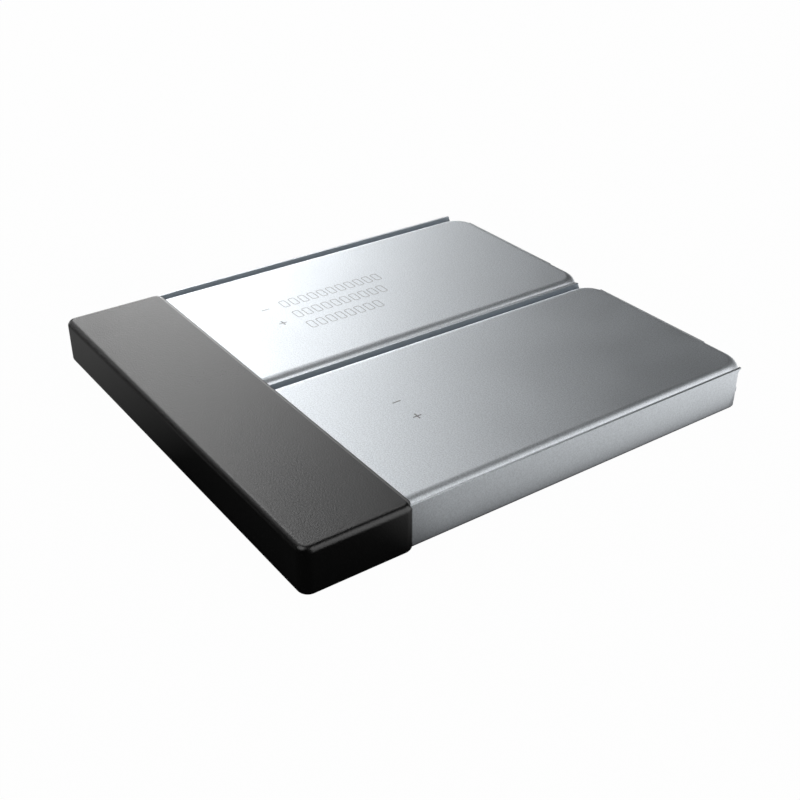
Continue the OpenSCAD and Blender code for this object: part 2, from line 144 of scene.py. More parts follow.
def noise(tree, place, scale, **values):
    return addNode(tree, "ShaderNodeTexNoise", {"Vector": place, "Scale": scale, **values}).outputs["Fac"]


def stretch(tree, place, scale):
    return addNode(tree, "ShaderNodeVectorMath", {0: place, 1: scale}, operation="MULTIPLY").outputs[0]


def newGroup(name, values, outputs):
    tree = bpy.data.node_groups.new(name, "ShaderNodeTree")
    tree.interface.new_socket("Vector", in_out="INPUT", socket_type="NodeSocketVector")
    for label, value in values.items():
        kind = "NodeSocketVector" if isinstance(value, tuple) else "NodeSocketFloat"
        tree.interface.new_socket(label, in_out="INPUT", socket_type=kind).default_value = value
    for label in outputs:
        tree.interface.new_socket(label, in_out="OUTPUT", socket_type="NodeSocketFloat")
    return tree, tree.nodes.new("NodeGroupInput").outputs, tree.nodes.new("NodeGroupOutput").inputs


noiseSpan = (0.3, 0.7)  # the part of a noise that a mask spreads out
hairLook = {"thin": (1.0, 0.02, 1.0), "patches": 90.0, "limit": 0.78, "contrast": 12.0}


def makeFineGrain():
    inputs = {"Grains Per Metre": 5000, "Stretch": (1, 1, 1)}
    tree, start, end = newGroup("fineGrain", inputs, ("Mask", "Height"))
    place = stretch(tree, start["Vector"], start["Stretch"])
    fine = noise(tree, place, start["Grains Per Metre"], Detail=2.0, Roughness=0.6)
    feed(tree, end["Mask"], mapRange(tree, fine, *noiseSpan))
    feed(tree, end["Height"], fine)
    return tree


def makeSoftMottle():
    tree, start, end = newGroup("softMottle", {"Patches Per Metre": 120}, ("Mask",))
    scale = start["Patches Per Metre"]
    broad = noise(tree, start["Vector"], scale, Detail=3.0, Roughness=0.5, Distortion=0.4)
    feed(tree, end["Mask"], mapRange(tree, broad, *noiseSpan))
    return tree


def makeHairScratches(look):
    inputs = {"Turn": 0.6, "Lines Per Metre": 900, "Share": 0.04}
    tree, start, end = newGroup("hairScratches", inputs, ("Mask",))
    turned = addNode(tree, "ShaderNodeVectorRotate", {"Vector": start["Vector"], "Angle": start["Turn"]},
                     rotation_type="Z_AXIS").outputs[0]
    lines = noise(tree, stretch(tree, turned, look["thin"]), start["Lines Per Metre"], Detail=1.0)
    where = noise(tree, start["Vector"], look["patches"], Detail=2.0)
    edge = math2(tree, "SUBTRACT", look["limit"], start["Share"])
    line = math2(tree, "MULTIPLY", math2(tree, "SUBTRACT", lines, edge), look["contrast"], clamp=True)
    feed(tree, end["Mask"], times(tree, line, where))
    return tree


fineGrain = makeFineGrain()
softMottle = makeSoftMottle()
hairScratches = makeHairScratches(hairLook)
print("node groups made")


# Materials
def startMaterial(name):
    material = bpy.data.materials.new(name)
    material.use_nodes = True
    tree = material.node_tree
    shader = tree.nodes["Principled BSDF"]
    place = addNode(tree, "ShaderNodeTexCoord").outputs["Object"]
    return material, tree, shader, place


def useGroup(tree, group, place, values):
    return addNode(tree, "ShaderNodeGroup", {"Vector": place, **values}, node_tree=group).outputs


def bumpUp(tree, shader, height, strength, depth):
    bump = addNode(tree, "ShaderNodeBump", {"Height": height, "Strength": strength, "Distance": depth})
    feed(tree, shader.inputs["Normal"], bump.outputs["Normal"])


def setShader(tree, shader, **values):
    for name, value in values.items():
        feed(tree, shader.inputs[name.replace("_", " ")], value)


def facing(tree, axis):
    normal = addNode(tree, "ShaderNodeNewGeometry").outputs["Normal"]
    along = addNode(tree, "ShaderNodeSeparateXYZ", {0: normal}).outputs[axis]
    return math2(tree, "ABSOLUTE", along, 0.0)


def makeSurface(name, baseLook, **changes):
    look = {**baseLook, **changes}
    material, tree, shader, place = startMaterial(name)
    grain = useGroup(tree, fineGrain, place, {"Grains Per Metre": 1 / look["grain"],
                                              "Stretch": look.get("stretch", (1, 1, 1))})
    mottle = useGroup(tree, softMottle, place, {"Patches Per Metre": 1 / look["patch"]})["Mask"]
    marks, height = grain["Mask"], grain["Height"]
    if "scratchTurn" in look:
        values = {"Turn": look["scratchTurn"], "Share": look["scratchShare"]}
        marks = useGroup(tree, hairScratches, place, values)["Mask"]
        height = math2(tree, "SUBTRACT", height, times(tree, marks, look["scratchDepth"]))
    base = mixColour(tree, mottle, look["colour"], look["patchColour"])
    speck = mixColour(tree, times(tree, grain["Mask"], look["speck"]), base, look["speckColour"])
    share = look.get("markWear", 0.5)  # of the roughness, from grain or scratches
    wear = math2(tree, "ADD", times(tree, mottle, 1 - share), times(tree, marks, share))
    setShader(tree, shader, Base_Color=speck, Roughness=mapRange(tree, wear, 0.0, 1.0, *look["rough"]),
              Metallic=look.get("metal", 0.0), Specular_IOR_Level=look.get("gloss", 0.5))
    bumpUp(tree, shader, height, look["bump"], look["depth"])
    return material


# Satin laminate film on the outside of the pouches
laminateLook = {
    "colour": (0.68, 0.713, 0.743),
    "patchColour": (0.665, 0.698, 0.727),
    "speckColour": (0.915, 0.959, 1.0),
    "speck": 1.0,
    "grain": 0.25 * mm,
    "patch": 14 * mm,
    "rough": (0.42, 0.48),
    "metal": 1.0,
    "bump": 0.05,
    "depth": 0.02 * mm,
    "scratchShare": 0.02,
    "scratchDepth": 0.3,
    "markWear": 0.4,
}
cupFilm = makeSurface("cupFilm", laminateLook, scratchTurn=0.5)
flapFilm = makeSurface("flapFilm", laminateLook, scratchTurn=1.9, rough=(0.46, 0.54), speck=0.6)
# Cut edges: a darker copy of the laminate, partly the cut edge's own tone, partly painted shade for the dark
# line along the flap tops
shadedCutFilm = makeSurface("shadedCutFilm", laminateLook, scratchTurn=0.9, colour=(0.58, 0.61, 0.635),
    patchColour=(0.56, 0.585, 0.61), speckColour=(0.78, 0.82, 0.855))

# Inner polymer face of the folded flaps
innerLook = {"colour": (0.42, 0.465, 0.515), "patchColour": (0.385, 0.43, 0.475),
             "speckColour": (0.5, 0.55, 0.6), "speck": 0.2, "grain": 0.3 * mm, "patch": 9 * mm,
             "rough": (0.35, 0.5), "metal": 0.6, "bump": 0.1, "depth": 0.02 * mm}
innerFilm = makeSurface("innerFilm", innerLook)

# Satin black moulding with a fine spark-eroded texture
capLook = {
    "colour": (0.0008, 0.0008, 0.0009),
    "patchColour": (0.001, 0.001, 0.001),
    "speckColour": (0.0025, 0.0025, 0.0025),
    "speck": 0.35,
    "grain": 0.28 * mm,
    "patch": 16 * mm,
    "rough": (0.27, 0.33),
    "gloss": 0.84,
    "bump": 0.6,
    "depth": 0.05 * mm,
}
capPlastic = makeSurface("capPlastic", capLook)

# The same moulding painted paler along the rim: a painted highlight line where the top face meets the open
# end
rimHighlightPlastic = makeSurface("rimHighlightPlastic", capLook, colour=(0.16, 0.16, 0.163),
    patchColour=(0.135, 0.135, 0.137), speckColour=(0.19, 0.19, 0.19))

# Marking ink
inkLook = {"colour": (0.16, 0.165, 0.17), "patchColour": (0.2, 0.205, 0.21), "speckColour": (0.4, 0.41, 0.42),
           "speck": 0.4, "grain": 0.12 * mm, "patch": 1.5 * mm, "rough": (0.45, 0.6), "metal": 0.3,
           "bump": 0.1, "depth": 0.01 * mm}
markInk = makeSurface("markInk", inkLook)
faintInk = makeSurface("faintInk", inkLook, colour=(0.40, 0.41, 0.42), patchColour=(0.46, 0.47, 0.48))

# Metals
rolledLook = {"speckColour": (0.95, 0.94, 0.92), "speck": 0.15, "grain": 0.08 * mm, "patch": 3 * mm,
              "stretch": (1, 0.08, 1), "rough": (0.25, 0.42), "metal": 1.0, "bump": 0.15, "depth": 0.01 * mm}
nickelStrip = makeSurface("nickelStrip", rolledLook, colour=(0.66, 0.62, 0.55), patchColour=(0.6, 0.57, 0.52))
aluminiumStrip = makeSurface("aluminiumStrip", rolledLook, colour=(0.84, 0.85, 0.86),
    patchColour=(0.78, 0.79, 0.8))
tinSolder = makeSurface("tinSolder", rolledLook, colour=(0.7, 0.7, 0.69), patchColour=(0.6, 0.6, 0.6),
    stretch=(1, 1, 1), rough=(0.2, 0.36), patch=0.6 * mm)
goldPlate = makeSurface("goldPlate", rolledLook, colour=(0.9, 0.68, 0.28), patchColour=(0.84, 0.6, 0.22),
    rough=(0.18, 0.3))
shuntAlloy = makeSurface("shuntAlloy", rolledLook, colour=(0.5, 0.42, 0.36), patchColour=(0.44, 0.38, 0.33),
    stretch=(0.08, 1, 1))

# Moulded and coated parts
mouldLook = {"colour": (0.035, 0.035, 0.037), "patchColour": (0.045, 0.045, 0.047),
             "speckColour": (0.09, 0.09, 0.09), "speck": 0.3, "grain": 0.12 * mm, "patch": 5 * mm,
             "rough": (0.45, 0.6), "bump": 0.2, "depth": 0.02 * mm}
carrierPlastic = makeSurface("carrierPlastic", mouldLook)
blockPlastic = makeSurface("blockPlastic", mouldLook, colour=(0.05, 0.05, 0.052), rough=(0.35, 0.5))
chipEpoxy = makeSurface("chipEpoxy", mouldLook, colour=(0.018, 0.018, 0.02),
    patchColour=(0.022, 0.022, 0.023), grain=0.06 * mm, patch=1 * mm)
resistorGlaze = makeSurface("resistorGlaze", mouldLook, colour=(0.012, 0.012, 0.014), rough=(0.2, 0.3))
capacitorCeramic = makeSurface("capacitorCeramic", mouldLook, colour=(0.42, 0.29, 0.17), rough=(0.35, 0.45),
    patchColour=(0.38, 0.26, 0.15), patch=0.5 * mm, speckColour=(0.55, 0.42, 0.28))
fuseBody = makeSurface("fuseBody", mouldLook, colour=(0.5, 0.5, 0.47), patchColour=(0.45, 0.45, 0.43),
    speckColour=(0.62, 0.62, 0.6))
beadGlaze = makeSurface("beadGlaze", mouldLook, colour=(0.16, 0.03, 0.02), patchColour=(0.12, 0.025, 0.018),
    speckColour=(0.25, 0.06, 0.04), rough=(0.12, 0.22), patch=1 * mm)
separatorFilm = makeSurface("separatorFilm", mouldLook, colour=(0.84, 0.84, 0.8),
    patchColour=(0.8, 0.8, 0.77), speckColour=(0.92, 0.92, 0.9), grain=0.1 * mm)
closingTape = makeSurface("closingTape", mouldLook, colour=(0.06, 0.26, 0.12), patchColour=(0.07, 0.29, 0.14),
    speckColour=(0.12, 0.36, 0.2), rough=(0.25, 0.4))
tabSealant = makeSurface("tabSealant", mouldLook, colour=(0.78, 0.75, 0.64), patchColour=(0.72, 0.69, 0.58),
    speckColour=(0.86, 0.84, 0.76), patch=1 * mm, rough=(0.3, 0.45))

# Fibre and foam parts
fibreLook = {"colour": (0.62, 0.52, 0.34), "patchColour": (0.56, 0.46, 0.3), "speckColour": (0.76, 0.68, 0.5),
             "speck": 0.5, "grain": 0.15 * mm, "patch": 2.5 * mm, "stretch": (0.25, 1, 1),
             "rough": (0.75, 0.9), "bump": 0.35, "depth": 0.03 * mm, "gloss": 0.2}
insulatingPaper = makeSurface("insulatingPaper", fibreLook)
bondTape = makeSurface("bondTape", fibreLook, colour=(0.76, 0.72, 0.58), patchColour=(0.7, 0.66, 0.52),
    speckColour=(0.85, 0.82, 0.7))
# The dark share is painted shade in the pore hollows; the pale share is a random mottle
foamLook = {"colour": (0.075, 0.075, 0.08), "pore": 0.28 * mm, "poreSpan": 0.6, "dark": 0.45, "pale": 1.3,
            "paleShare": 0.3, "patches": 300, "rough": (0.95, 0.8), "gloss": 0.2, "bump": 0.6,
            "depth": 0.05 * mm}


def makeFoam(name, look):
    material, tree, shader, place = startMaterial(name)
    cells = addNode(tree, "ShaderNodeTexVoronoi", {"Vector": place, "Scale": 1 / look["pore"]})
    pores = cells.outputs["Distance"]
    mottle = useGroup(tree, softMottle, place, {"Patches Per Metre": look["patches"]})["Mask"]
    # Painted shade: the pore hollows are coloured darker the deeper they lie
    deep = mapRange(tree, pores, 0.0, look["poreSpan"])
    dark, pale = (tuple(look[tone] * c for c in look["colour"]) for tone in ("dark", "pale"))
    base = mixColour(tree, deep, dark, look["colour"])
    shade = mixColour(tree, times(tree, mottle, look["paleShare"]), base, pale)
    setShader(tree, shader, Base_Color=shade, Roughness=mapRange(tree, deep, 0.0, 1.0, *look["rough"]),
              Specular_IOR_Level=look["gloss"])
    bumpUp(tree, shader, pores, look["bump"], look["depth"])
    return material


foamCells = makeFoam("foamCells", foamLook)

# Circuit board: green resist over copper runs, bare glass laminate at the edges
boardLook = {
    "resist": (0.012, 0.09, 0.035),
    "copper": (0.03, 0.16, 0.06),
    "laminate": (0.45, 0.42, 0.24),
    "runPitch": 0.9 * mm,
    "runs": {"Mortar Size": 0.03, "Mortar Smooth": 0.2, "Brick Width": 1.6, "Row Height": 0.25},
    "runOrder": {"offset": 0.37, "squash": 1.7, "squash_frequency": 3},
    "weave": 0.35 * mm,
    "weaveShare": 0.15,
    "weaveBump": 0.3,
    "edgeFacing": 0.5,
    "rough": (0.22, 0.6),
    "bump": 0.3,
    "depth": 0.03 * mm,
}


def makeBoard(name, look):
    material, tree, shader, place = startMaterial(name)
    scale = look["runs"]["Row Height"] / look["runPitch"]
    values = {"Vector": place, "Scale": scale, **look["runs"]}
    runs = addNode(tree, "ShaderNodeTexBrick", values, **look["runOrder"])
    grain = useGroup(tree, fineGrain, place, {"Grains Per Metre": 1 / look["weave"]})
    copper = mapRange(tree, runs.outputs["Fac"], 0.0, 1.0, 1.0, 0.0)
    face = mixColour(tree, copper, look["resist"], look["copper"])
    speck = mixColour(tree, times(tree, grain["Mask"], look["weaveShare"]), face, look["laminate"])
    edge = math2(tree, "LESS_THAN", facing(tree, "Z"), look["edgeFacing"])
    setShader(tree, shader, Base_Color=mixColour(tree, edge, speck, look["laminate"]),
              Roughness=mapRange(tree, larger(tree, edge, grain["Mask"]), 0.0, 1.0, *look["rough"]))
    height = math2(tree, "ADD", copper, times(tree, grain["Height"], look["weaveBump"]))
    bumpUp(tree, shader, height, look["bump"], look["depth"])
    return material


boardResist = makeBoard("boardResist", boardLook)

# Electrode roll: dark coated foil, with its wound layers on the end faces
rollLook = {
    "coat": (0.022, 0.022, 0.024),
    "coatSpeck": (0.05, 0.05, 0.052),
    "speck": 0.3,
    "foil": (0.42, 0.3, 0.2),
    "foilSpan": (0.75, 0.95),
    "bands": {"Scale": 312.5, "Distortion": 0.6, "Detail": 1.0},  # about 1 mm apart
    "endFacing": 0.7,
    "grains": 9000,  # per metre
    "rough": (0.6, 0.8),
    "bump": 0.3,
    "depth": 0.03 * mm,
}


def makeRoll(name, look):
    material, tree, shader, place = startMaterial(name)
    waves = addNode(tree, "ShaderNodeTexWave", {"Vector": place, **look["bands"]}, bands_direction="Z")
    bands = waves.outputs["Fac"]
    grain = useGroup(tree, fineGrain, place, {"Grains Per Metre": look["grains"]})
    end = math2(tree, "GREATER_THAN", facing(tree, "Y"), look["endFacing"])
    foil = times(tree, end, mapRange(tree, bands, *look["foilSpan"]))
    base = mixColour(tree, times(tree, grain["Mask"], look["speck"]), look["coat"], look["coatSpeck"])
    setShader(tree, shader, Base_Color=mixColour(tree, foil, base, look["foil"]), Metallic=foil,
              Roughness=mapRange(tree, grain["Mask"], 0.0, 1.0, *look["rough"]))
    bumpUp(tree, shader, math2(tree, "ADD", bands, grain["Height"]), look["bump"], look["depth"])
    return material


electrodeRoll = makeRoll("electrodeRoll", rollLook)
print("materials made")


# Mesh helpers
def meshObject(name, bm):
    bmesh.ops.remove_doubles(bm, verts=bm.verts, dist=joinDistance)
    bmesh.ops.recalc_face_normals(bm, faces=bm.faces)
    mesh = bpy.data.meshes.new(name)
    bm.to_mesh(mesh)
    bm.free()
    thing = bpy.data.objects.new(name, mesh)
    scene.collection.objects.link(thing)
    return thing


def newPiece(name, bm, materials, replaced=(), bevel=None, sharp=38):
    piece = meshObject(name, bm)
    for material in materials:
        piece.data.materials.append(material)
    dressMesh(piece, bevel, sharp)
    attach(piece, "pack")
    if replaced:
        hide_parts(*replaced)
    return piece


def softenEdges(piece, width, segments, angle=30):
    soft = piece.modifiers.new("softEdges", "BEVEL")
    soft.width = width
    soft.segments = segments
    soft.limit_method = "ANGLE"
    soft.angle_limit = math.radians(angle)


def dressMesh(piece, bevel, sharp):
    piece.data.shade_smooth()
    piece.data.set_sharp_from_angle(angle=math.radians(sharp))
    if bevel:
        softenEdges(piece, bevel, 3, sharp)
    even = piece.modifiers.new("evenNormals", "WEIGHTED_NORMAL")
    even.keep_sharp = True


def smooth(t):
    t = min(1.0, max(0.0, t))
    return t * t * (3 - 2 * t)


def shares(count):
    return [k / count for k in range(count + 1)]


def quarterTurn(steps):
    return [share * quarter for share in shares(steps)]


def fullTurn(count):
    return [k / count * 4 * quarter for k in range(count)]


def addRing(bm, points):
    return [bm.verts.new(p) for p in points]


def circleRing(bm, x, y, z, radius, count):
    return addRing(bm, [(x + radius * math.cos(a), y + radius * math.sin(a), z) for a in fullTurn(count)])


def loft(bm, rings, slot=0, closed=True):
    for a, b in zip(rings, rings[1:]):
        count = len(a)
        for i in range(count if closed else count - 1):
            j = (i + 1) % count
            bm.faces.new((a[i], a[j], b[j], b[i])).material_index = slot


def solidLoft(bm, rings, slot=0):
    loft(bm, rings, slot)
    for ring in (rings[0], rings[-1]):
        bm.faces.new(ring).material_index = slot


def roundedPlan(low, high, frontRadius, endRadius, steps):
    corners = [(low[0], low[1], frontRadius, 2), (high[0], low[1], frontRadius, 3),
               (high[0], high[1], endRadius, 0), (low[0], high[1], endRadius, 1)]
    plan = []
    for x, y, radius, turn in corners:
        cx = x + radius * (1 if turn in (1, 2) else -1)
        cy = y + radius * (1 if turn in (2, 3) else -1)
        for share in shares(steps):
            a = (turn + share) * quarter
            c, s = math.cos(a), math.sin(a)
            plan.append((cx + radius * c, cy + radius * s, c, s))
    return plan


def planRing(bm, plan, inset, z):
    return addRing(bm, [(x - nx * inset, y - ny * inset, z) for x, y, nx, ny in plan])


def sheetLoft(bm, outerRows, innerRows, slots=(0, 0, 0)):
    outer = [addRing(bm, row) for row in outerRows]
    inner = [addRing(bm, row) for row in innerRows]
    loft(bm, outer, slots[0], closed=False)
    loft(bm, inner, slots[1], closed=False)
    for i in (0, -1):
        loft(bm, [[row[i] for row in outer], [row[i] for row in inner]], slots[2], closed=False)
        loft(bm, [outer[i], inner[i]], slots[2], closed=False)


def softBlock(bm, low, high, edge, slot=0):
    steps = 3
    low, high = Vector(low), Vector(high)
    plan = roundedPlan(low, high, edge, edge, steps)
    rings = []
    for a in quarterTurn(steps):
        rings.append(planRing(bm, plan, edge * (1 - math.sin(a)), low.z + edge * (1 - math.cos(a))))
    for a in quarterTurn(steps):
        rings.append(planRing(bm, plan, edge * (1 - math.cos(a)), high.z - edge * (1 - math.sin(a))))
    solidLoft(bm, rings, slot)


def islands(node):
    bm = bmesh.new()
    bm.from_mesh(nodes[node].data)
    bmesh.ops.remove_doubles(bm, verts=bm.verts, dist=joinDistance)
    left = set(bm.verts)
    boxes = []
    while left:
        todo = [left.pop()]
        low, high = todo[0].co.copy(), todo[0].co.copy()
        while todo:
            vert = todo.pop()
            low = Vector(map(min, low, vert.co))
            high = Vector(map(max, high, vert.co))
            for edge in vert.link_edges:
                other = edge.other_vert(vert)
                if other in left:
                    left.remove(other)
                    todo.append(other)
        boxes.append((low, high))
    bm.free()
    return sorted(boxes, key=lambda b: (round(b[0].x, 6), round(b[0].y, 6)))


# Deep-drawn cups of the two pouches
cupShape = {
    "film": 0.15 * mm,
    "fillet": 2.3 * mm,
    "frontCorner": 2.8 * mm,
    "endCorner": 5.4 * mm,
    "terrace": 4.5 * mm,  # sealed flange in front of the cup
    "terraceRows": 160,
    "humpRise": 0.3 * mm,  # flange lifted over a tab and its sealing strips
    "humpHalf": 3.7 * mm,
    "humpSlope": 0.5 * mm,
    "arcSteps": 14,
}


def cupRings(bm, plan, shape, lowZ, highZ, inset):
    fillet = shape["fillet"] - inset
    rings = [planRing(bm, plan, inset, lowZ)]
    for a in quarterTurn(shape["arcSteps"]):
        reach, drop = fillet * (1 - math.cos(a)), fillet * (1 - math.sin(a))
        rings.append(planRing(bm, plan, inset + reach, highZ - drop))
    return rings


def humpAt(x, tabXs, shape):
    near = min(abs(x - t) for t in tabXs)
    return shape["humpRise"] * smooth((shape["humpHalf"] + shape["humpSlope"] - near) / shape["humpSlope"])


def makeCup(side):
    shape = cupShape
    low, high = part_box(side + "_cell_cup")
    front = low.y + shape["terrace"]
    tabXs = [sum(c.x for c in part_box(side + sign)) / 2 for sign in tabSigns]
    bm = bmesh.new()
    plan = roundedPlan((low.x, front), high, shape["frontCorner"], shape["endCorner"], shape["arcSteps"])
    outer = cupRings(bm, plan, shape, low.z, high.z, 0)
    inner = cupRings(bm, plan, shape, low.z, high.z - shape["film"], shape["film"])
    solidLoft(bm, [*reversed(outer), *inner])
    left, right = low.x + shape["frontCorner"], high.x - shape["frontCorner"]
    rows = []
    for share in shares(shape["terraceRows"]):
        x = left + (right - left) * share
        lift = low.z + humpAt(x, tabXs, shape)
        top = lift + shape["film"]
        rows.append(addRing(bm, [(x, front, lift), (x, low.y, lift), (x, low.y, top), (x, front, top)]))
    solidLoft(bm, rows)
    newPiece(side + "_cup_film", bm, [cupFilm], [side + "_cell_cup"])


for side in cellSides:
    makeCup(side)
print("cups made")


# Base films with their folded flaps
baseShape = {
    "film": 0.15 * mm,
    "seam": 0.45 * mm,  # thickness of the sealed flap edge
    "rise": {"far": 0.25 * mm, "near": 0.1 * mm},  # flap tops above the drawn height
    "endSeam": 0.28 * mm,
    "fold": 0.6 * mm,
    "terrace": 4.5 * mm,
    "terraceEdge": 0.03 * mm,
    "frontCorner": 2.8 * mm,
    "endCorner": 5.4 * mm,
    "squareCorner": 0.001 * mm,
    "sideGap": 0.45 * mm,  # from the flap's outer face to the cup
    "flapShort": 3.9 * mm,  # side flaps stop before the free end
    "wallRows": [0, 0.3 * mm, 0.7 * mm, 1.2 * mm, 2.2 * mm, 4 * mm],  # heights below the flap's top edge
    "endFlapInset": 2.9 * mm,
    "endFlapDrop": 1.09 * mm,  # the end flap stops below the side flaps
    "endFlapTrim": 9 * mm,  # slanted corner of the end flap
    "endFlapColumns": (8, 4),  # along the level edge and along the slant
    "flapCorner": 2.4 * mm,
    "curlLength": 1.3 * mm,  # the flap's free end turns in
    "curlRows": 10,
    "curl": 0.62 * mm,
    "tipHigh": 1.0 * mm,  # but hardly at its top corner
    "tipCurl": 0.15,
    "lean": {"left": 0.18 * mm, "right": 0.0},  # the far flap springs out past the cap
    "leanRamp": 4 * mm,
    "leanRows": 6,
    "edge": 0.02 * mm,
    "arcSteps": 8,
}


def halfProfile(shape, half, low, top):
    fold, film, seam = shape["fold"], shape["film"], shape["seam"]
    outer = [(half, top - drop) for drop in shape["wallRows"]]
    inner = [(half - seam, top - drop) for drop in shape["wallRows"]]
    for a in quarterTurn(shape["arcSteps"]):
        c, s = math.cos(a), math.sin(a)
        outer.append((half - fold + fold * c, low + fold - fold * s))
        inner.append((half - fold + (fold - seam) * c, low + fold - (fold - film) * s))
    return outer, inner


def channelProfile(shape, half, low, high):
    near, far = (halfProfile(shape, half, low, high + shape["rise"][way]) for way in ("near", "far"))
    return [[*a, *[(-x, z) for x, z in reversed(b)]] for a, b in zip(near, far)]


def flapEnd(shape, end, low, z):
    radius = shape["flapCorner"]
    drop = radius - min(radius, z - low)
    return end - radius + math.sqrt(max(0, radius * radius - drop * drop))


def bendFlap(shape, side, rim, end, low, high, x, y, z):
    t = max(0, (y - end + shape["curlLength"]) / shape["curlLength"])
    tip = smooth((z - high + shape["tipHigh"]) / shape["tipHigh"])
    share = 1 - (1 - shape["tipCurl"]) * tip
    bent = x - math.copysign(shape["curl"] * t * t * share, x)
    if x < 0:
        bent -= shape["lean"][side] * smooth((y - rim) / shape["leanRamp"]) * (z - low) / (high - low)
    return bent


def makeBase(side):
    shape = baseShape
    low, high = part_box(side + "_cell_base")
    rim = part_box("end_cap")[1].y
    middle, half = (low.x + high.x) / 2, (high.x - low.x) / 2
    front, end = low.y + shape["terrace"], high.y - shape["flapShort"]
    fold, film, seam = shape["fold"], shape["film"], shape["endSeam"]
    bm = bmesh.new()
    long = end - front
    spots = [0, *[(rim - front + shape["leanRamp"] * t) / long for t in shares(shape["leanRows"])], 0.5,
             *[1 - shape["curlLength"] / long * (1 - t) for t in shares(shape["curlRows"])]]

    def rowAt(share, inside):
        row = []
        for x, z in channelProfile(shape, half, low.z, high.z)[inside]:
            y = front + (flapEnd(shape, end, low.z, z) - front) * share
            bent = bendFlap(shape, side, rim, end, low.z, high.z, x, y, z) if z > low.z + fold else x
            row.append((middle + bent, y, z))
        return row

    sheetLoft(bm, [rowAt(s, 0) for s in spots], [rowAt(s, 1) for s in spots], (0, 1, 2))
    reach = half - shape["sideGap"]
    tail = roundedPlan((middle - reach, end - shape["flapCorner"]), (middle + reach, high.y - fold),
                       shape["squareCorner"], shape["endCorner"], shape["arcSteps"])
    solidLoft(bm, [planRing(bm, tail, 0, z) for z in (low.z, low.z + film)])
    terraceHalf = reach - shape["frontCorner"]
    softBlock(bm, (middle - terraceHalf, low.y, low.z), (middle + terraceHalf, front, low.z + film),
              shape["terraceEdge"])
    flapHalf = reach - shape["endFlapInset"]
    endTop, endFoot = high.z - shape["endFlapDrop"], low.z + 2 * fold

    def endRow(x, thick, base):
        cut = max(0, (x - middle - flapHalf) / shape["endFlapTrim"] + 1)
        row = [(x, high.y - shape["endCorner"], low.z + base)]
        for a in quarterTurn(shape["arcSteps"]):
            c, s = math.cos(a - quarter), math.sin(a - quarter)
            row.append((x, high.y - fold + (fold - thick) * c, low.z + fold + (fold - base) * s))
        return [*row, (x, high.y - thick, endTop - cut * (endTop - endFoot))]

    level, slant = (shares(count) for count in shape["endFlapColumns"])
    xs = [middle - flapHalf + (2 * flapHalf - shape["endFlapTrim"]) * t for t in level]
    xs += [middle + flapHalf - shape["endFlapTrim"] * (1 - t) for t in slant[1:]]
    sheetLoft(bm, [endRow(x, 0, 0) for x in xs], [endRow(x, seam, film) for x in xs], (0, 1, 2))
    newPiece(side + "_base_film", bm, [flapFilm, innerFilm, shadedCutFilm],
             [side + "_cell_base"], bevel=shape["edge"])


for side in cellSides:
    makeBase(side)
print("base films made")


# End cap
capShape = {
    "topEdge": 1.1 * mm,
    "footEdge": 1.0 * mm,
    "corner": 2.0 * mm,
    "cornerRows": 20,
    "wall": 1.0 * mm,
    "roof": 0.9 * mm,
    "lipTop": 0.3 * mm,
    "lipSide": 0.52 * mm,
    "lipLength": 3.23 * mm,
    "lipRound": 0.28 * mm,
    "cutRound": 0.05 * mm,
    "floor": 0.88 * mm,
    "windowRim": 0.25 * mm,
    "rimHighlightRun": (0.55 * mm, 1.12 * mm),  # run of the painted highlight line along the rim, from the open end
    "topFacing": 0.8,
    "sharp": 30,
    "arcSteps": 12,
}


def capRing(bm, shape, low, high, depth):
    corner = shape["corner"]
    back = max(0.0, corner - min(depth, high.y - low.y - depth))
    points = []
    for turn in range(4):
        toRight, toTop = turn in (0, 3), turn in (0, 1)
        edge = shape["topEdge" if toTop else "footEdge"]
        most = quarter if back <= corner - edge else math.acos(min(1.0, (back - corner + edge) / edge))
        arc = []
        for share in shares(shape["arcSteps"]):
            a = most * share
            plan = corner - edge + edge * math.cos(a)
            x = high.x - corner + math.sqrt(max(0.0, plan * plan - back * back))
            z = high.z - edge + edge * math.sin(a)
            x = x if toRight else low.x + high.x - x
            arc.append((x, low.y + depth, z if toTop else low.z + high.z - z))
        points += arc if turn in (0, 2) else arc[::-1]
    return addRing(bm, points)


def cutAway(piece, name, boxes, radius):
    bm = bmesh.new()
    for low, high in boxes:
        section = roundedPlan((low[0], low[2]), (high[0], high[2]), radius, radius, 5)
        solidLoft(bm, [addRing(bm, [(p[0], y, p[1]) for p in section]) for y in (low[1], high[1])])
    cutter = meshObject(name, bm)
    cut = piece.modifiers.new(name, "BOOLEAN")
    cut.operation = "DIFFERENCE"
    cut.solver = "EXACT"
    cut.object = cutter
    bpy.context.view_layer.update()
    piece.data = bpy.data.meshes.new_from_object(piece.evaluated_get(bpy.context.evaluated_depsgraph_get()))
    piece.modifiers.clear()
    bpy.data.objects.remove(cutter)


